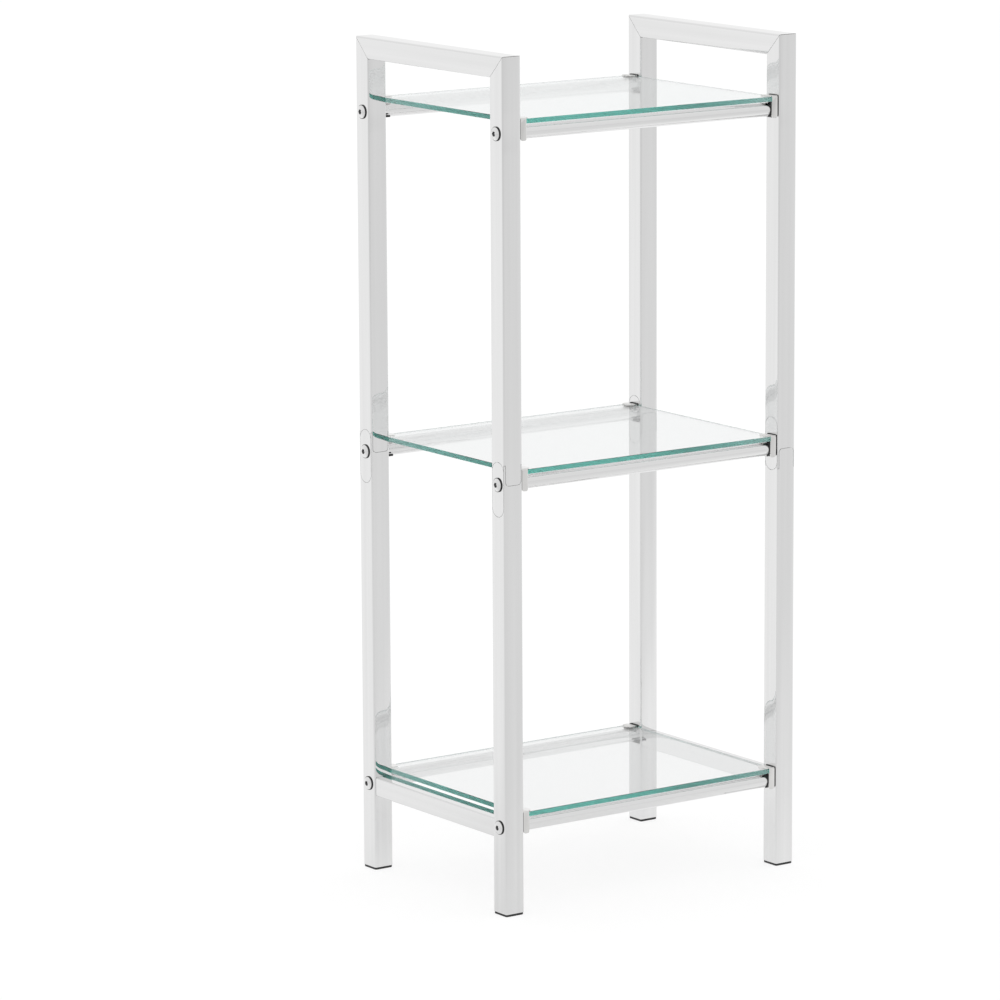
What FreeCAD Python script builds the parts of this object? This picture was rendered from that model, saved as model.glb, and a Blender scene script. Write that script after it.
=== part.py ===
import FreeCAD, Part
import os

# Overall size of the unit, in millimetres
# X runs across the shelves, Y from the front (negative) to the back, Z up from the floor
width = 300.0
depth = 210.0
height = 710.0

# Square tube of the two side frames
tube = 18.0
tube_wall = 0.8
tube_corner = 1.2
side_rail = 16.0
side_rail_bottom = 64.7
weld_seam = 0.35

# Shelf levels: the heights of the screws and of the cross rails' axes
lowest_axis = 74.5
level_pitch = 286.5
levels = {
    "bottom": lowest_axis,
    "middle": lowest_axis + level_pitch,
    "top": lowest_axis + 2 * level_pitch,
}

# Round cross rails, and the glass that the holders carry just above them
rail_diameter = 12.0
rail_wall = 1.0
glass_lift = 1.0
glass_thickness = 4.0
glass_corner = 1.5
glass_arris = 0.4
glass_end_gap = 0.2
glass_front_gap = 0.4

# Fit between round pieces, and between flat pieces that slide together
round_gap = 0.3
flat_gap = 0.1

# Corner rounding of the plugs that slide into the square tubes
plug_corner = 0.8

# Two places closer than this count as the same
same_place = 1e-6

# How far a cutting shape reaches past the piece that it cuts
margin = 5.0

# Black holder on each rail end: a plate on the post with a bar at its top, a half cup round the rail,
# and a foot behind the rail on a strap that passes under it
holder_plate = 0.8
holder_plate_setback = 0.3
holder_plate_rise = 0.3
holder_low_corner = 4.0
holder_top_corner = 2.5
holder_bar_end = 4.5
holder_bar_height = 2.5
cup_reach = 6.9
cup_opening = 2.5
cup_corner = 6.0
cup_gap = 0.1
holder_strap = 1.2
holder_strap_lap = 1.0
holder_foot_start = 5.2
holder_foot_end = 7.0
holder_foot_drop = 5.4
holder_foot_height = 1.6
holder_foot_reach = 5.2

# Chromed clip over each holder
clip_wall = 0.9
clip_front = 7.6
clip_reach = 6.6
clip_lip_reach = 10.9
clip_lip_inner = 5.0
clip_inner_bend = 0.5
clip_post_corner = 2.2
clip_rail_corner = 1.6

# Screws, washers and threaded inserts
screw_diameter = 6.0
screw_head_diameter = 10.8
screw_head_height = 2.0
screw_head_rim = 0.4
screw_grip = 12.0
socket_width = 4.0
socket_depth = 1.5
washer_diameter = 11.8
washer_thickness = 0.7
insert_length = 16.0

# Joint between the halves of a post
tongue_width = 15.0
tongue_length = 17.0
tongue_corner = 3.0
tongue_seam = 0.4
boss_half_width = 7.8
boss_short = 18.5
boss_long = 26.5
connector_length = 72.0

# Foot plugs
foot_flange = 17.8
foot_thickness = 2.0
foot_corner = 2.0
foot_edge = 0.4
foot_spigot = 12.0
foot_lead = 0.6

# Sizes that follow from the ones above
half_width = width / 2
half_depth = depth / 2
post_x = half_width - tube / 2
post_y = half_depth - tube / 2
bore = tube - 2 * tube_wall
inner_face = half_width - tube
rail_radius = rail_diameter / 2
rail_reach = inner_face - flat_gap
joint_height = levels["middle"]
glass_bottom = rail_radius + glass_lift
glass_top = glass_bottom + glass_thickness
clip_top = glass_top + flat_gap + clip_wall
holder_front = clip_front - clip_wall - flat_gap
clearance_radius = screw_diameter / 2 + round_gap
socket_corner = socket_width / 3 ** 0.5

sides = {"left": -1, "right": 1}
ends = {"front": -1, "rear": 1}


# General shapes

def block(x0, x1, y0, y1, z0, z1):
    """A box between two corners."""
    return Part.makeBox(x1 - x0, y1 - y0, z1 - z0, FreeCAD.Vector(x0, y0, z0))


def upright_edges(shape):
    """The edges of a box that run along Z."""
    return [edge for edge in shape.Edges if edge.Vertexes[0].Z != edge.Vertexes[1].Z]


def edges_within(shape, axis, low, high):
    """The edges whose ends both lie between two values along one axis."""
    found = []
    for edge in shape.Edges:
        places = [getattr(vertex, axis) for vertex in edge.Vertexes]
        if min(places) > low - same_place and max(places) < high + same_place:
            found.append(edge)
    return found


def shared_edges(first, second):
    """The edges that are in both lists."""
    return [edge for edge in first if any(edge.isSame(other) for other in second)]


def rounded_bar(size, corner, length, start=0.0):
    """An upright square bar on the Z axis with rounded long edges."""
    bar = block(-size / 2, size / 2, -size / 2, size / 2, start, start + length)
    return bar.makeFillet(corner, upright_edges(bar))


def square_tube(size, length):
    """An upright square tube on the Z axis, open at both ends."""
    outside = rounded_bar(size, tube_corner, length)
    inside = rounded_bar(size - 2 * tube_wall, tube_corner - tube_wall, length + 2 * margin, -margin)
    return outside.cut(inside)


def along_x(radius, x0, x1, y, z):
    """A cylinder that lies along X."""
    return Part.makeCylinder(radius, x1 - x0, FreeCAD.Vector(x0, y, z), FreeCAD.Vector(1, 0, 0))


def outline_solid(edges, direction):
    """The solid swept from a closed flat outline of lines and arcs."""
    wire = Part.Wire([edge.toShape() for edge in edges])
    return Part.Face(wire).extrude(direction)


def mirrored(shape, side, end):
    """A left front piece placed at another corner of the unit."""
    if side == "right":
        shape = shape.mirror(FreeCAD.Vector(0, 0, 0), FreeCAD.Vector(1, 0, 0))
    if end == "rear":
        shape = shape.mirror(FreeCAD.Vector(0, 0, 0), FreeCAD.Vector(0, 1, 0))
    return shape


# Joint between the halves of a post, with the post's axis on Z and the joint at height 0

def tongue_slot(gap):
    """The space that a tongue fills in the front and rear walls, grown by a gap."""
    half = tongue_width / 2 + gap
    low = -gap
    slot = block(-half, half, -tube, tube, low, tongue_length + gap)
    lower = edges_within(slot, "Z", low, low)
    beside = edges_within(slot, "X", -half, -half) + edges_within(slot, "X", half, half)
    return slot.makeFillet(tongue_corner + gap, shared_edges(lower, beside))


def side_slot(gap):
    """The space that the side walls of a tongued half fill between the prongs, grown by a gap."""
    half = boss_half_width + gap
    return block(-tube, tube, -half, half, 0, tongue_length + gap)


def boss_shape(low, high, gap):
    """The bar with round ends that shows as a boss on the side faces, grown by a gap."""
    half = boss_half_width + gap
    bottom = low + boss_half_width
    top = high - boss_half_width
    x = -tube / 2
    corners = [FreeCAD.Vector(x, -half, bottom), FreeCAD.Vector(x, -half, top),
               FreeCAD.Vector(x, half, top), FreeCAD.Vector(x, half, bottom)]
    edges = [
        Part.LineSegment(corners[0], corners[1]),
        Part.Arc(corners[1], FreeCAD.Vector(x, 0, top + half), corners[2]),
        Part.LineSegment(corners[2], corners[3]),
        Part.Arc(corners[3], FreeCAD.Vector(x, 0, bottom - half), corners[0]),
    ]
    return outline_solid(edges, FreeCAD.Vector(tube, 0, 0))


def boss_ends(long_side_down):
    """How far a connector's bosses reach below and above the joint."""
    if long_side_down:
        return -boss_long, boss_short
    return -boss_short, boss_long


def tongued_half(length, boss_cut):
    """A tube that rises from the joint, with its corners cut away beside long tongues in front and behind."""
    whole = square_tube(tube, length)
    above = block(-tube, tube, -tube, tube, tongue_length, length + margin)
    return whole.common(above.fuse([tongue_slot(0.0), side_slot(0.0)])).cut(boss_cut)


def pronged_half(length, boss_cut):
    """A tube that ends in four corner prongs, which take the walls of the other half between them."""
    reach = tongue_length - tongue_seam
    whole = square_tube(tube, length + reach)
    whole.translate(FreeCAD.Vector(0, 0, -length))
    return whole.cut([tongue_slot(tongue_seam), side_slot(tongue_seam), boss_cut])


def upside_down(shape):
    """A shape turned over about the joint."""
    return shape.mirror(FreeCAD.Vector(0, 0, 0), FreeCAD.Vector(0, 0, 1))


def post_halves(lower_length, upper_length, tongue_above, long_side_down):
    """The lower and upper half of a post, before the holes and the mitre."""
    low, high = boss_ends(long_side_down)
    boss_cut = boss_shape(low, high, round_gap)
    if tongue_above:
        return pronged_half(lower_length, boss_cut), tongued_half(upper_length, boss_cut)
    turned_cut = upside_down(boss_cut)
    upper = upside_down(pronged_half(upper_length, turned_cut))
    lower = upside_down(tongued_half(lower_length, turned_cut))
    return lower, upper


def connector(long_side_down):
    """The plug inside both halves of a post, with its two flush bosses and the screw's hole."""
    low, high = boss_ends(long_side_down)
    core_size = bore - 2 * round_gap
    core = rounded_bar(core_size, plug_corner, connector_length, -connector_length / 2)
    plug = core.fuse(boss_shape(low, high, 0.0)).removeSplitter()
    return plug.cut(along_x(clearance_radius, -tube, tube, 0, 0))


# Side frames

def mitre_wedge(over_post):
    """Half of the space at the left front corner of a frame's top, cut along the mitre."""
    drop = weld_seam if over_post else 0.0
    x = -half_width - margin
    front = -half_depth - margin
    back = -half_depth + tube + margin
    top = height + margin - drop
    bottom = height - tube - margin - drop
    outer = FreeCAD.Vector(x, front, top)
    inner = FreeCAD.Vector(x, back, bottom)
    third = FreeCAD.Vector(x, front, bottom)
    if over_post:
        third = FreeCAD.Vector(x, back, top)
    edges = [Part.LineSegment(outer, inner), Part.LineSegment(inner, third), Part.LineSegment(third, outer)]
    return outline_solid(edges, FreeCAD.Vector(width + 2 * margin, 0, 0))


def post(side, end, tongue_above, long_side_down):
    """Both halves of one post in place, drilled for the screws and mitred at the top."""
    lower_length = joint_height - foot_thickness
    upper_length = height - joint_height
    lower, upper = post_halves(lower_length, upper_length, tongue_above, long_side_down)
    place = FreeCAD.Vector(sides[side] * post_x, ends[end] * post_y, joint_height)
    lower.translate(place)
    upper.translate(place)
    lower = lower.cut(along_x(clearance_radius, place.x - tube, place.x + tube, place.y, levels["bottom"]))
    upper = upper.cut(along_x(clearance_radius, place.x - tube, place.x + tube, place.y, levels["top"]))
    return lower, upper.cut(mirrored(mitre_wedge(True), "left", end))


def top_rail(side):
    """The mitred rail across the top of a side frame."""
    rail = square_tube(tube, depth)
    rail.rotate(FreeCAD.Vector(0, 0, 0), FreeCAD.Vector(1, 0, 0), -90)
    rail.translate(FreeCAD.Vector(sides[side] * post_x, -half_depth, height - tube / 2))
    for end in ends:
        rail = rail.cut(mirrored(mitre_wedge(False), "left", end))
    return rail


def lower_side_rail(side):
    """The smaller rail between the lower halves of a frame's posts."""
    length = depth - 2 * (tube + weld_seam)
    rail = square_tube(side_rail, length)
    rail.rotate(FreeCAD.Vector(0, 0, 0), FreeCAD.Vector(1, 0, 0), -90)
    rail.translate(FreeCAD.Vector(sides[side] * post_x, -length / 2, side_rail_bottom + side_rail / 2))
    return rail


def foot_plug(side, end):
    """The plug in the bottom of a post: a flange on the floor and a spigot in the tube."""
    flange = rounded_bar(foot_flange, foot_corner, foot_thickness)
    flange = flange.makeChamfer(foot_edge, edges_within(flange, "Z", 0, 0))
    spigot = rounded_bar(bore - 2 * round_gap, plug_corner, foot_spigot, foot_thickness)
    top = foot_thickness + foot_spigot
    plug = flange.fuse(spigot.makeChamfer(foot_lead, edges_within(spigot, "Z", top, top)))
    plug.translate(FreeCAD.Vector(sides[side] * post_x, ends[end] * post_y, 0))
    return plug


# Shelves

def glass_shelf(level):
    """A glass plate with eased corners and edges, lying on the four holders between their plates."""
    reach = inner_face - holder_plate - glass_end_gap
    front = post_y + holder_front - glass_front_gap
    low = levels[level] + glass_bottom
    high = levels[level] + glass_top
    plate = block(-reach, reach, -front, front, low, high)
    plate = plate.makeFillet(glass_corner, upright_edges(plate))
    rims = edges_within(plate, "Z", low, low) + edges_within(plate, "Z", high, high)
    return plate.makeChamfer(glass_arris, rims)


def cross_rail(level, end):
    """A round tube from post to post."""
    y = ends[end] * post_y
    outside = along_x(rail_radius, -rail_reach, rail_reach, y, levels[level])
    return outside.cut(along_x(rail_radius - rail_wall, -rail_reach, rail_reach, y, levels[level]))


def rail_inserts(level):
    """The threaded plugs in the four rail ends of one shelf."""
    plug_radius = rail_radius - rail_wall - round_gap
    plug_end = -rail_reach + insert_length
    plugs = []
    for end in ends:
        y = ends[end] * post_y
        plug = along_x(plug_radius, -rail_reach, plug_end, y, levels[level])
        plug = plug.cut(along_x(clearance_radius, -rail_reach, plug_end, y, levels[level]))
        plugs.append(plug)
        plugs.append(mirrored(plug, "right", "front"))
    return Part.makeCompound(plugs)


def round_front(shape, front, height, corner):
    """A shape with the edge rounded that runs along X at its front, at one height."""
    edges = shared_edges(edges_within(shape, "Y", front, front), edges_within(shape, "Z", height, height))
    return shape.makeFillet(corner, edges)


def holder(level):
    """The black holder of the left front rail end, which the rail passes through."""
    x = -inner_face
    y = -post_y
    z = levels[level]
    plate_end = x + holder_plate
    back = y - cup_opening
    low = z - holder_front
    plate_front = y - clip_front + holder_plate_setback
    plate_top = z + clip_top + holder_plate_rise
    plate = block(x, plate_end, plate_front, back, low, plate_top)
    bar = block(x, plate_end, plate_front, y + holder_bar_end, plate_top - holder_bar_height, plate_top)
    plate = plate.fuse(bar).removeSplitter()
    plate = round_front(plate, plate_front, low, holder_low_corner)
    plate = round_front(plate, plate_front, plate_top, holder_top_corner)
    cup_front = y - holder_front
    cup_end = x + cup_reach
    cup_top = z + glass_bottom - flat_gap
    cup = round_front(block(x, cup_end, cup_front, y, low, cup_top), cup_front, low, cup_corner)
    cup = cup.cut(block(x, cup_end, back, y, low, cup_top))
    strap_top = z - rail_radius - cup_gap
    strap_low = strap_top - holder_strap
    foot_front = y + holder_foot_start
    foot_back = y + holder_foot_end
    foot_low = z - holder_foot_drop
    foot_high = foot_low + holder_foot_height
    strap = block(x, plate_end, back - holder_strap_lap, foot_back, strap_low, strap_top)
    link = block(x, plate_end, foot_front, foot_back, strap_low, foot_high)
    foot = block(x, x + holder_foot_reach, foot_front, foot_back, foot_low, foot_high)
    body = plate.fuse([cup, strap, link, foot]).removeSplitter()
    return body.cut(along_x(rail_radius + cup_gap, x - margin, x + tube, y, z))


def clip(level):
    """The chromed clip of the left front rail end: a wall bent over into a rounded lip on the glass."""
    x = -inner_face
    z = levels[level]
    near = x + holder_plate
    far = x + clip_reach
    lip_end = x + clip_lip_reach
    low = z - holder_front
    high = z + clip_top
    front = -post_y - clip_front
    back = -post_y + clip_lip_inner
    inside = front + clip_wall
    under = high - clip_wall
    outer_bend = clip_inner_bend + clip_wall
    wall = block(near, lip_end, front, inside, low, high)
    lip = block(near, lip_end, front, back, under, high)
    sheet = wall.fuse(lip).removeSplitter()
    for y, z, bend in ((inside, under, clip_inner_bend), (front, high, outer_bend)):
        corner = shared_edges(edges_within(sheet, "Y", y, y), edges_within(sheet, "Z", z, z))
        sheet = sheet.makeFillet(bend, corner)
    outline = block(near, lip_end, front, back, low, high)
    tip = shared_edges(edges_within(outline, "X", lip_end, lip_end), upright_edges(outline))
    body = sheet.common(outline.makeFillet(clip_lip_reach - clip_reach, tip))
    body = body.cut(block(far, lip_end, front, back, low, high - outer_bend))
    for x, rounding in ((near, clip_post_corner), (far, clip_rail_corner)):
        corner = shared_edges(edges_within(body, "X", x, x), edges_within(body, "Z", low, low))
        body = body.makeFillet(rounding, corner)
    return body


def hexagon_socket(x, y, z):
    """The six-sided hole for the key, from a start outside the head, with corners above and below."""
    centre = FreeCAD.Vector(x, y, z)
    spoke = FreeCAD.Vector(0, 0, socket_corner)
    turns = [FreeCAD.Rotation(FreeCAD.Vector(1, 0, 0), 60 * side) for side in range(6)]
    corners = [centre + turn.multVec(spoke) for turn in turns]
    outline = Part.makePolygon(corners + corners[:1])
    return Part.Face(outline).extrude(FreeCAD.Vector(margin + socket_depth, 0, 0))


def screw(level):
    """The left front screw of one shelf: a domed head with a rim and a hexagon socket, on a plain shank."""
    face = -half_width - washer_thickness
    y = -post_y
    z = levels[level]
    radius = screw_head_diameter / 2
    dome_height = screw_head_height - screw_head_rim
    dome_radius = (radius ** 2 + dome_height ** 2) / (2 * dome_height)
    dome = Part.makeSphere(dome_radius, FreeCAD.Vector(face - screw_head_height + dome_radius, y, z))
    head = dome.common(along_x(radius, face - screw_head_height - margin, face, y, z))
    shank_end = -inner_face + holder_plate + screw_grip
    body = head.fuse(along_x(screw_diameter / 2, face, shank_end, y, z))
    return body.cut(hexagon_socket(face - screw_head_height - margin, y, z))


def washer(level):
    """The left front washer of one shelf."""
    face = -half_width
    ring = along_x(washer_diameter / 2, face - washer_thickness, face, -post_y, levels[level])
    return ring.cut(along_x(clearance_radius, face - washer_thickness, face, -post_y, levels[level]))


def four_corners(shape):
    """The same piece at all four corners of a shelf, as separate solids."""
    return Part.makeCompound([mirrored(shape, side, end) for side in sides for end in ends])


# The whole unit

pieces = {}

# The right front post has its connector turned over, and both right posts have their tongues below
tongues_above = {"left": True, "right": False}
for side in sides:
    for end in ends:
        long_side_down = not (side == "right" and end == "front")
        lower_half, upper_half = post(side, end, tongues_above[side], long_side_down)
        pieces[f"{side}_{end}_post_lower"] = lower_half
        pieces[f"{side}_{end}_post_upper"] = upper_half
        plug = connector(long_side_down)
        plug.translate(FreeCAD.Vector(sides[side] * post_x, ends[end] * post_y, joint_height))
        pieces[f"{side}_{end}_post_connector"] = plug
        pieces[f"{side}_{end}_foot_plug"] = foot_plug(side, end)
    pieces[f"{side}_top_rail"] = top_rail(side)
    pieces[f"{side}_lower_side_rail"] = lower_side_rail(side)

for level in levels:
    pieces[f"{level}_glass_shelf"] = glass_shelf(level)
    for end in ends:
        pieces[f"{level}_{end}_cross_rail"] = cross_rail(level, end)
        for side in sides:
            pieces[f"{level}_{side}_{end}_clip"] = mirrored(clip(level), side, end)
    pieces[f"{level}_rail_holders"] = four_corners(holder(level))
    pieces[f"{level}_rail_inserts"] = rail_inserts(level)
    pieces[f"{level}_screws"] = four_corners(screw(level))
    pieces[f"{level}_washers"] = four_corners(washer(level))

os.makedirs("parts", exist_ok=True)
for name, shape in pieces.items():
    shape.exportStep(f"parts/{name}.step")
    print(name, len(shape.Solids), shape.isValid(), round(shape.Volume, 1))
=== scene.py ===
from math import cos, pi, radians, sin, sqrt

import bmesh
import bpy
from mathutils import Matrix, Vector


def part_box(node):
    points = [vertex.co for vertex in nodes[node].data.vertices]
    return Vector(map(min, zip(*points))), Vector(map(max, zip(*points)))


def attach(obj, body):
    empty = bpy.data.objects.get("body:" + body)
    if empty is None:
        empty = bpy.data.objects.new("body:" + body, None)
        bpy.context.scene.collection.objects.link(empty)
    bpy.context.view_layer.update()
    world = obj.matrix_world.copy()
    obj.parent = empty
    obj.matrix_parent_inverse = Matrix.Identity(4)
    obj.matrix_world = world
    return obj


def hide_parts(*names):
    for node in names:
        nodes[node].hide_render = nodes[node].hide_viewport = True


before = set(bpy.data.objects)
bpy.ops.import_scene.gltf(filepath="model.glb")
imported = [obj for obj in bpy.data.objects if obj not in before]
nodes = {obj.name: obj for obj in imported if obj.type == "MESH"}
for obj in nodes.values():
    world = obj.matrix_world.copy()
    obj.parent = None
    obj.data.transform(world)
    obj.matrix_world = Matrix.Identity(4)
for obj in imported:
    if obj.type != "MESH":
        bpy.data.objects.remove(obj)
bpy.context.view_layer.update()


# Side frames: posts, mitred top rails and lower side rails of square steel tube, welded and chromed, with a
# plug in each post where its halves meet. The rolled faces fall away a little towards the corners, are drawn
# in round the screws, and keep faint long streaks from drawing and polishing along the tube.
sides = {"left": -1, "right": 1}
ends = {"front": -1, "rear": 1}
levels = ("bottom", "middle", "top")


def new_material(name):
    material = bpy.data.materials.new(name)
    material.use_nodes = True
    tree = material.node_tree
    return material, tree, tree.nodes["Principled BSDF"]


def calculate(tree, operation, first, second=None):
    node = tree.nodes.new("ShaderNodeMath")
    node.operation = operation
    for socket, value in zip(node.inputs, (first, second)):
        if isinstance(value, (int, float)):
            socket.default_value = value
        elif value is not None:
            tree.links.new(value, socket)
    return node.outputs["Value"]


def object_place(tree):
    coordinates = tree.nodes.new("ShaderNodeTexCoord")
    return coordinates.outputs["Object"]


def split_axes(tree, vector):
    split = tree.nodes.new("ShaderNodeSeparateXYZ")
    tree.links.new(vector, split.inputs["Vector"])
    return split.outputs


def noise(tree, scales, detail=2.0):
    mapping = tree.nodes.new("ShaderNodeMapping")
    mapping.inputs["Scale"].default_value = scales
    tree.links.new(object_place(tree), mapping.inputs["Vector"])
    texture = tree.nodes.new("ShaderNodeTexNoise")
    texture.inputs["Scale"].default_value = 1.0
    texture.inputs["Detail"].default_value = detail
    tree.links.new(mapping.outputs["Vector"], texture.inputs["Vector"])
    return texture.outputs["Fac"]


def between(tree, source, low, high, start=0.0, stop=1.0, smooth=False):
    remap = tree.nodes.new("ShaderNodeMapRange")
    if smooth:
        remap.interpolation_type = "SMOOTHSTEP"
    remap.inputs["From Min"].default_value = start
    remap.inputs["From Max"].default_value = stop
    remap.inputs["To Min"].default_value = low
    remap.inputs["To Max"].default_value = high
    tree.links.new(source, remap.inputs["Value"])
    return remap.outputs["Result"]


def tints(tree, source, dark, light):
    dark_below = 0.3
    light_above = 0.7
    ramp = tree.nodes.new("ShaderNodeValToRGB")
    first, last = ramp.color_ramp.elements
    first.position = dark_below
    first.color = (*dark, 1)
    last.position = light_above
    last.color = (*light, 1)
    tree.links.new(source, ramp.inputs["Fac"])
    return ramp.outputs["Color"]


def raise_surface(tree, surface, height):
    relief = tree.nodes.new("ShaderNodeBump")
    relief.inputs["Strength"].default_value = 1.0
    relief.inputs["Distance"].default_value = 1.0
    tree.links.new(height, relief.inputs["Height"])
    tree.links.new(relief.outputs["Normal"], surface.inputs["Normal"])


def chrome_plate(name, streaks, wave_height, dark=(0.765, 0.765, 0.765), light=(0.805, 0.805, 0.805)):
    brightest_polish = 0.015
    dullest_polish = 0.04
    material, tree, surface = new_material(name)
    surface.inputs["Metallic"].default_value = 1.0
    streak = noise(tree, streaks)
    tree.links.new(tints(tree, streak, dark, light), surface.inputs["Base Color"])
    tree.links.new(between(tree, streak, brightest_polish, dullest_polish), surface.inputs["Roughness"])
    return material, tree, surface, calculate(tree, "MULTIPLY", streak, wave_height)


def rolled_tube(name, streaks, centres, tube_size):
    wave_height = 0.00001
    corner_slope = 0.12
    material, tree, surface, shape = chrome_plate(name, streaks, wave_height)
    steepness = corner_slope / (4 * (tube_size / 2) ** 3)
    axes = split_axes(tree, object_place(tree))
    for axis, centre in centres.items():
        place = axes[axis]
        if axis != "Z":
            place = calculate(tree, "ABSOLUTE", place)
        off_centre = calculate(tree, "ABSOLUTE", calculate(tree, "SUBTRACT", place, centre))
        fall = calculate(tree, "MULTIPLY", calculate(tree, "POWER", off_centre, 4.0), steepness)
        shape = calculate(tree, "SUBTRACT", shape, fall)
    return material, tree, surface, shape


post_low, post_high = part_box("left_front_post_lower")
post_size = post_high.x - post_low.x
post_x = abs(post_low.x + post_high.x) / 2
post_y = abs(post_low.y + post_high.y) / 2
screw_height = {}
for level in levels:
    screws_low, screws_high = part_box(f"{level}_screws")
    screw_height[level] = (screws_low.z + screws_high.z) / 2
level_pitch = screw_height["middle"] - screw_height["bottom"]


def from_screw_axis(tree):
    axes = split_axes(tree, object_place(tree))
    beside = calculate(tree, "SUBTRACT", calculate(tree, "ABSOLUTE", axes["Y"]), post_y)
    above_lowest = calculate(tree, "SUBTRACT", axes["Z"], screw_height["bottom"])
    above = calculate(tree, "PINGPONG", above_lowest, level_pitch / 2)
    squares = [calculate(tree, "POWER", distance, 2.0) for distance in (beside, above)]
    return calculate(tree, "SQRT", calculate(tree, "ADD", *squares))


upright_streaks = (160, 160, 2.5)
dish_depth = 0.00025
dish_bottom_radius = 0.004
dish_rim_radius = 0.020
post_centres = {"X": post_x, "Y": post_y}
post_chrome, tree, surface, shape = rolled_tube("post_chrome", upright_streaks, post_centres, post_size)
from_screw = from_screw_axis(tree)
dish = between(tree, from_screw, -dish_depth, 0.0, dish_bottom_radius, dish_rim_radius, smooth=True)
raise_surface(tree, surface, calculate(tree, "ADD", shape, dish))


def finish_nodes(material, names):
    for name in names:
        nodes[name].data.materials.clear()
        nodes[name].data.materials.append(material)


for side in sides:
    for end in ends:
        post = f"{side}_{end}_post"
        finish_nodes(post_chrome, [f"{post}_lower", f"{post}_upper", f"{post}_connector"])

level_streaks = (160, 2.5, 160)
for rail in ("top_rail", "lower_side_rail"):
    low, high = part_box(f"left_{rail}")
    rail_centres = {"X": post_x, "Z": (low.z + high.z) / 2}
    frame_rail_chrome, tree, surface, shape = rolled_tube(
        f"{rail}_chrome", level_streaks, rail_centres, high.z - low.z)
    raise_surface(tree, surface, shape)
    finish_nodes(frame_rail_chrome, [f"{side}_{rail}" for side in sides])


# Foot plugs: black moulded plastic plugs pushed into the bottoms of the posts.
# Their thin flanges stand on the floor and have the fine grain of a spark-eroded mould.
def moulded_plastic(name, dark, light):
    grain_scale = (2500, 2500, 2500)
    grain_height = 0.00003
    cloud_scale = (120, 120, 120)
    shiniest = 0.38
    dullest = 0.58
    material, tree, surface = new_material(name)
    grain = noise(tree, grain_scale, 3.0)
    cloud = noise(tree, cloud_scale)
    tree.links.new(tints(tree, cloud, dark, light), surface.inputs["Base Color"])
    tree.links.new(between(tree, grain, shiniest, dullest), surface.inputs["Roughness"])
    raise_surface(tree, surface, calculate(tree, "MULTIPLY", grain, grain_height))
    return material


foot_plastic = moulded_plastic("foot_plastic", (0.006, 0.006, 0.007), (0.013, 0.013, 0.014))
for side in sides:
    finish_nodes(foot_plastic, [f"{side}_{end}_foot_plug" for end in ends])


# Cross rails: round chromed steel tubes, two under each shelf, with a threaded steel plug in each end.
# The polishing marks run along the tube, and the turning marks of the plugs run round them.
rail_streaks = (2.5, 200, 200)
rail_wave = 0.000006
rail_chrome, tree, surface, wave = chrome_plate("rail_chrome", rail_streaks, rail_wave)
raise_surface(tree, surface, wave)

insert_streaks = (400, 60, 60)
insert_wave = 0.00001
insert_dark = (0.42, 0.42, 0.43)
insert_light = (0.55, 0.55, 0.56)
insert_steel, tree, surface, wave = chrome_plate(
    "insert_steel", insert_streaks, insert_wave, insert_dark, insert_light)
raise_surface(tree, surface, wave)

for level in levels:
    finish_nodes(rail_chrome, [f"{level}_{end}_cross_rail" for end in ends])
    finish_nodes(insert_steel, [f"{level}_rail_inserts"])


# Rail holders and washers: moulded black plastic. A holder is a plate that the screw pulls against the post,
# with a bar under the glass, a half cup round the rail's end and a foot below. A washer lies under each
# screw head.
holder_plastic = moulded_plastic("holder_plastic", (0.005, 0.005, 0.006), (0.011, 0.011, 0.012))
for level in levels:
    finish_nodes(holder_plastic, [f"{level}_rail_holders", f"{level}_washers"])


# Glass shelves: plates of 4 mm float glass that lie on the holders, with eased corners and ground edges.
# The iron in the glass takes the red out of light on its way through the plate, so that the edges show
# sea green, and the grinding leaves them hazy.
glass_corner = 0.0015
glass_arris = 0.00025


def mixed(tree, amount, first, second):
    mix = tree.nodes.new("ShaderNodeMix")
    mix.data_type = "RGBA"
    tree.links.new(amount, mix.inputs["Factor"])
    for socket, colour in (("A", first), ("B", second)):
        if isinstance(colour, tuple):
            mix.inputs[socket].default_value = (*colour, 1)
        else:
            tree.links.new(colour, mix.inputs[socket])
    return mix.outputs["Result"]


def facing(tree, axis):
    geometry = tree.nodes.new("ShaderNodeNewGeometry")
    return calculate(tree, "ABSOLUTE", split_axes(tree, geometry.outputs["True Normal"])[axis])


def float_glass():
    face_tint = (0.955, 0.925, 0.93)
    edge_dark = (0.54, 0.76, 0.72)
    edge_light = (0.62, 0.84, 0.80)
    edge_below = 0.5
    face_above = 0.7
    grinding_scale = (60, 60, 500)
    grinding_height = 0.00002
    finest_grinding = 0.55
    coarsest_grinding = 0.68
    cloud_scale = (25, 25, 200)
    material, tree, surface = new_material("float_glass")
    surface.inputs["Transmission Weight"].default_value = 1.0
    surface.inputs["IOR"].default_value = 1.52

    on_edge = between(tree, facing(tree, "Z"), 1.0, 0.0, edge_below, face_above)
    grinding = noise(tree, grinding_scale, 3.0)
    haze = between(tree, grinding, finest_grinding, coarsest_grinding)
    tree.links.new(calculate(tree, "MULTIPLY", on_edge, haze), surface.inputs["Roughness"])
    marks = calculate(tree, "MULTIPLY", on_edge, grinding)
    raise_surface(tree, surface, calculate(tree, "MULTIPLY", marks, grinding_height))
    edge_tint = tints(tree, noise(tree, cloud_scale), edge_dark, edge_light)
    tree.links.new(mixed(tree, on_edge, face_tint, edge_tint), surface.inputs["Base Color"])

    iron = tree.nodes.new("ShaderNodeVolumeAbsorption")
    iron.inputs["Color"].default_value = (0.05, 0.76, 0.69, 1)
    iron.inputs["Density"].default_value = 8.0
    tree.links.new(iron.outputs["Volume"], tree.nodes["Material Output"].inputs["Volume"])
    return material


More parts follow.
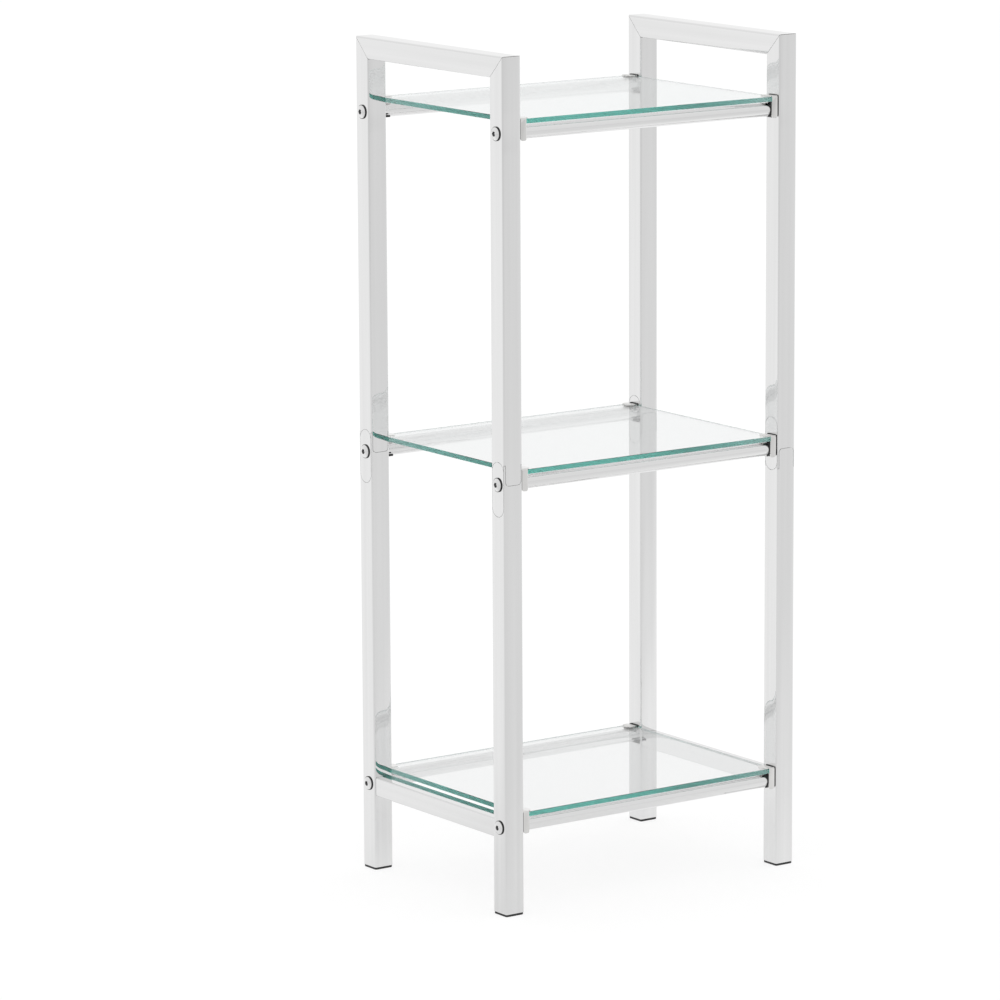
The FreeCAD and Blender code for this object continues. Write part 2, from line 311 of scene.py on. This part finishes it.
def block_between(low, high):
    mesh = bmesh.new()
    stretch = Matrix.Diagonal((*(high - low), 1))
    bmesh.ops.create_cube(mesh, size=1.0, matrix=Matrix.Translation((low + high) / 2) @ stretch)
    return mesh


def new_piece(name, mesh, material):
    piece_mesh = bpy.data.meshes.new(name)
    mesh.to_mesh(piece_mesh)
    mesh.free()
    piece_mesh.materials.append(material)
    piece = bpy.data.objects.new(name, piece_mesh)
    bpy.context.scene.collection.objects.link(piece)
    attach(piece, "root")
    return piece


shelf_glass = float_glass()
for level in levels:
    low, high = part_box(f"{level}_glass_shelf")
    plate = block_between(low, high)
    corners = [edge for edge in plate.edges if edge.verts[0].co.xy == edge.verts[1].co.xy]
    bmesh.ops.bevel(plate, geom=corners, offset=glass_corner, affect="EDGES", segments=4, profile=0.5,
                    material=-1)
    rims = [edge for edge in plate.edges if edge.verts[0].co.z == edge.verts[1].co.z]
    bmesh.ops.bevel(plate, geom=rims, offset=glass_arris, affect="EDGES", segments=1, profile=0.5,
                    material=-1)
    shelf = new_piece(f"{level}_shelf", plate, shelf_glass)
    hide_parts(f"{level}_glass_shelf")

bpy.context.scene.cycles.max_bounces = 32
bpy.context.scene.cycles.glossy_bounces = 24
bpy.context.scene.cycles.transmission_bounces = 24


# Clips: chromed clips, one at each rail end, bent from one strip into a wall in front of the holder and a lip
# with a rounded tip over the corner of the glass. Every edge is rolled smooth, and the wall bulges a little.
clip_wall = 0.0009
clip_reach = 0.0058
clip_bend = 0.0014
clip_tip = 0.0043
clip_post_corner = 0.0022
clip_rail_corner = 0.0016
clip_rolled_edge = 0.0004
clip_grain = (90, 90, 90)
clip_wave = 0.00001
clip_dark = (0.71, 0.705, 0.695)
clip_light = (0.75, 0.745, 0.735)
bulge_slope = 0.2
same_place = 1e-6

clip_chrome, tree, surface, wave = chrome_plate("clip_chrome", clip_grain, clip_wave, clip_dark, clip_light)
clip_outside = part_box("bottom_left_front_clip")[0]
wall_middle = abs(clip_outside.x) - clip_reach / 2
across_wall = calculate(tree, "ABSOLUTE", split_axes(tree, object_place(tree))["X"])
off_middle = calculate(tree, "SUBTRACT", across_wall, wall_middle)
bulge = calculate(tree, "MULTIPLY", calculate(tree, "POWER", off_middle, 2.0), -bulge_slope / clip_reach)
raise_surface(tree, surface, calculate(tree, "ADD", wave, bulge))


def pull_out(mesh, edges, way):
    made = bmesh.ops.extrude_edge_only(mesh, edges=edges)["geom"]
    points = [item for item in made if isinstance(item, bmesh.types.BMVert)]
    bmesh.ops.translate(mesh, verts=points, vec=way)
    return points


def bent_clip(low, high):
    strip = bmesh.new()
    length, lip, rise = high - low
    places = [Vector((0, 0, 0)), Vector((0, 0, rise - clip_bend))]
    bend_steps = 6
    for step in range(1, bend_steps + 1):
        turn = pi / 2 * step / bend_steps
        places.append(places[1] + clip_bend * Vector((0, 1 - cos(turn), sin(turn))))
    places.append(Vector((0, lip, rise)))
    chain = [strip.verts.new(place) for place in places]
    edges = [strip.edges.new(pair) for pair in zip(chain, chain[1:])]
    pull_out(strip, edges, (clip_reach, 0, 0))

    def on_lip_side(vert):
        return vert.co.x > clip_reach / 2 and vert.co.z > rise - same_place

    lip_edge = [edge for edge in strip.edges if all(on_lip_side(vert) for vert in edge.verts)]
    tip = pull_out(strip, lip_edge, (length - clip_reach, 0, 0))
    bmesh.ops.bevel(strip, geom=tip, offset=clip_tip, affect="VERTICES", segments=8, profile=0.5,
                    material=-1)
    for corner, place in ((clip_post_corner, 0.0), (clip_rail_corner, clip_reach)):
        foot = [vert for vert in strip.verts
                if vert.co.z < same_place and abs(vert.co.x - place) < same_place]
        bmesh.ops.bevel(strip, geom=foot, offset=corner, affect="VERTICES", segments=6, profile=0.5,
                        material=-1)
    bmesh.ops.recalc_face_normals(strip, faces=strip.faces)
    if max(strip.faces, key=lambda face: face.calc_center_median().z).normal.z < 0:
        bmesh.ops.reverse_faces(strip, faces=strip.faces)
    bmesh.ops.solidify(strip, geom=list(strip.faces), thickness=clip_wall)
    bmesh.ops.translate(strip, verts=strip.verts, vec=low)
    return strip


for level in levels:
    low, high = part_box(f"{level}_left_front_clip")
    for side in sides:
        for end in ends:
            clip = bent_clip(low, high)
            mirror = Matrix.Diagonal((-sides[side], -ends[end], 1, 1))
            bmesh.ops.transform(clip, matrix=mirror, verts=clip.verts)
            bmesh.ops.recalc_face_normals(clip, faces=clip.faces)
            piece = new_piece(f"{level}_{side}_{end}_bent_clip", clip, clip_chrome)
            rolled = piece.modifiers.new("rolled_edge", "BEVEL")
            rolled.width = clip_rolled_edge
            rolled.segments = 3
            rolled.limit_method = "ANGLE"
            rolled.harden_normals = True
            piece.data.shade_smooth()
            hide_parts(f"{level}_{side}_{end}_clip")


# Screws: plated button-head screws through the posts into the rails. Each head is a low dome with a short rim
# and a hexagon socket pressed into it, whose walls carry painted shade: a near-black colour in place of the
# plating.
washer_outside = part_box("bottom_washers")[0]
screws_low, screws_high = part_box("bottom_screws")
head_radius = (screws_high.z - screws_low.z) / 2
head_rim = 0.0004
dome_height = 0.0016
shank_radius = 0.003
shank_end = 0.0319
socket_sides = 6
socket_corner = 0.0023
socket_floor = 0.0005
socket_lip = 0.0029
turn_steps = 48
dome_steps = 8
merge_reach = 1e-7
sharp_angle = radians(35)
screw_grain = (300, 300, 300)
screw_wave = 0.000004
# painted shade: the near-black colour on the socket walls stands for the shade inside the hexagon recess
socket_painted_shade = (0.09, 0.09, 0.092)
sideways_limit = 0.5

screw_chrome, tree, surface, wave = chrome_plate("screw_chrome", screw_grain, screw_wave)
raise_surface(tree, surface, wave)
# mask of the socket walls, which get the painted shade colour instead of the plating colour
on_wall = calculate(tree, "LESS_THAN", facing(tree, "X"), sideways_limit)
near_axis = calculate(tree, "LESS_THAN", from_screw_axis(tree), socket_lip)
painted_shade_in_socket = calculate(tree, "MULTIPLY", on_wall, near_axis)
plating = surface.inputs["Base Color"].links[0].from_socket
tree.links.new(mixed(tree, painted_shade_in_socket, plating, socket_painted_shade), surface.inputs["Base Color"])


def button_screw():
    mesh = bmesh.new()
    dome_radius = (head_radius ** 2 + dome_height ** 2) / (2 * dome_height)

    def dome_at(radius):
        drop = dome_radius - sqrt(dome_radius ** 2 - radius ** 2)
        return Vector((drop - dome_height - head_rim, 0, radius))

    radii = [socket_lip + (head_radius - socket_lip) * step / dome_steps for step in range(dome_steps + 1)]
    outline = [dome_at(radius) for radius in radii]
    outline += [Vector((0, 0, head_radius)), Vector((0, 0, shank_radius))]
    outline += [Vector((shank_end, 0, shank_radius)), Vector((shank_end, 0, 0))]
    chain = [mesh.verts.new(place) for place in outline]
    edges = [mesh.edges.new(pair) for pair in zip(chain, chain[1:])]
    bmesh.ops.spin(mesh, geom=chain + edges, cent=(0, 0, 0), axis=(1, 0, 0), angle=2 * pi, steps=turn_steps,
                   use_merge=True)
    bmesh.ops.remove_doubles(mesh, verts=mesh.verts, dist=merge_reach)

    head_opening = [edge for edge in mesh.edges if edge.is_boundary]
    socket_top = dome_at(socket_corner).x
    key_place = Matrix.Translation((socket_top, 0, 0)) @ Matrix.Rotation(pi / 2, 4, "Y")
    key_hole = bmesh.ops.create_circle(mesh, segments=socket_sides, radius=socket_corner, matrix=key_place)
    hexagon = [edge for edge in mesh.edges if all(vert in key_hole["verts"] for vert in edge.verts)]
    bmesh.ops.subdivide_edges(mesh, edges=hexagon, cuts=turn_steps // socket_sides - 1)
    key_edge = [edge for edge in mesh.edges if edge.is_wire]
    bmesh.ops.bridge_loops(mesh, edges=head_opening + key_edge)
    floor_points = pull_out(mesh, key_edge, (-socket_floor - socket_top, 0, 0))
    floor_edge = [edge for edge in mesh.edges if all(vert in floor_points for vert in edge.verts)]
    bmesh.ops.contextual_create(mesh, geom=floor_edge)
    return mesh


for level in levels:
    group = bmesh.new()
    for side in sides:
        for end in ends:
            single = button_screw()
            mirror = Matrix.Diagonal((-sides[side], 1, 1, 1))
            place = (sides[side] * abs(washer_outside.x), ends[end] * post_y, screw_height[level])
            bmesh.ops.transform(single, matrix=Matrix.Translation(place) @ mirror, verts=single.verts)
            bmesh.ops.recalc_face_normals(single, faces=single.faces)
            copy = bpy.data.meshes.new("single_screw")
            single.to_mesh(copy)
            single.free()
            group.from_mesh(copy)
            bpy.data.meshes.remove(copy)
    piece = new_piece(f"{level}_button_screws", group, screw_chrome)
    piece.data.shade_smooth()
    piece.data.set_sharp_from_angle(angle=sharp_angle)
    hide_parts(f"{level}_screws")


# Studio: a long lens that looks down at the left front corner, and a sheet of paper that glows white to the
# lens. In metal and glass the paper shows dimmer towards the front, and the white light that comes from all
# round is a little weaker there too.
camera_place = Vector((-2.6660, -3.6484, 1.1765))
camera_azimuth = radians(-35.33)
camera_pitch = radians(10.769)
camera_roll = radians(-0.289)
camera = bpy.data.objects.new("camera", bpy.data.cameras.new("camera"))
camera.data.lens = 196.37
camera.data.sensor_width = 36.0
camera.data.clip_end = 100.0
camera.matrix_world = (Matrix.Translation(camera_place)
                       @ Matrix.Rotation(camera_azimuth, 4, "Z")
                       @ Matrix.Rotation(pi / 2 - camera_pitch, 4, "X")
                       @ Matrix.Rotation(camera_roll, 4, "Z"))
bpy.context.scene.collection.objects.link(camera)
bpy.context.scene.camera = camera

paper_reach = 30.0
sheet = bmesh.new()
bmesh.ops.create_grid(sheet, x_segments=1, y_segments=1, size=paper_reach)
floor_mesh = bpy.data.meshes.new("floor")
sheet.to_mesh(floor_mesh)
sheet.free()
floor = bpy.data.objects.new("floor", floor_mesh)
bpy.context.scene.collection.objects.link(floor)


def front_to_back(tree, vector):
    turned = tree.nodes.new("ShaderNodeMapping")
    turned.inputs["Rotation"].default_value = (0, 0, -camera_azimuth)
    tree.links.new(vector, turned.inputs["Vector"])
    return split_axes(tree, turned.outputs["Vector"])["Y"]


paper_grey = (0.25, 0.25, 0.25)
glow_to_lens = (0.80, 0.80, 0.80)
glow_elsewhere = (0.605, 0.605, 0.605)
glow_by_depth = ((-4.0, 0.53), (-1.3, 0.605), (-0.35, 0.615), (-0.12, 0.68), (0.05, 0.78))
paper_white, tree, surface = new_material("paper_white")
surface.inputs["Base Color"].default_value = (*paper_grey, 1)
surface.inputs["Roughness"].default_value = 1.0
surface.inputs["Specular IOR Level"].default_value = 0.0
surface.inputs["Emission Strength"].default_value = 1.0
front = glow_by_depth[0][0]
back = glow_by_depth[-1][0]
fading = tree.nodes.new("ShaderNodeValToRGB")
fading.color_ramp.interpolation = "EASE"
for distance, _ in glow_by_depth[1:-1]:
    fading.color_ramp.elements.new((distance - front) / (back - front))
for stop, (_, glow) in zip(fading.color_ramp.elements, glow_by_depth):
    stop.color = (glow, glow, glow, 1)
depth = front_to_back(tree, object_place(tree))
tree.links.new(between(tree, depth, 0.0, 1.0, front, back), fading.inputs["Fac"])
path = tree.nodes.new("ShaderNodeLightPath")
in_metal = path.outputs["Is Glossy Ray"]
in_glass = path.outputs["Is Transmission Ray"]
metal_or_glass = calculate(tree, "MAXIMUM", in_metal, in_glass)
shown = mixed(tree, metal_or_glass, glow_elsewhere, fading.outputs["Color"])
seen = mixed(tree, path.outputs["Is Camera Ray"], shown, glow_to_lens)
tree.links.new(seen, surface.inputs["Emission Color"])
floor.data.materials.append(paper_white)

light_in_front = 0.84
light_behind = 0.96
world = bpy.data.worlds.new("studio")
bpy.context.scene.world = world
world.use_nodes = True
tree = world.node_tree
background = tree.nodes["Background"]
background.inputs["Color"].default_value = (1, 1, 1, 1)
direction = tree.nodes.new("ShaderNodeTexCoord")
depth = front_to_back(tree, direction.outputs["Generated"])
tree.links.new(between(tree, depth, light_in_front, light_behind, -1.0, 1.0), background.inputs["Strength"])

bpy.context.scene.view_settings.view_transform = "Standard"
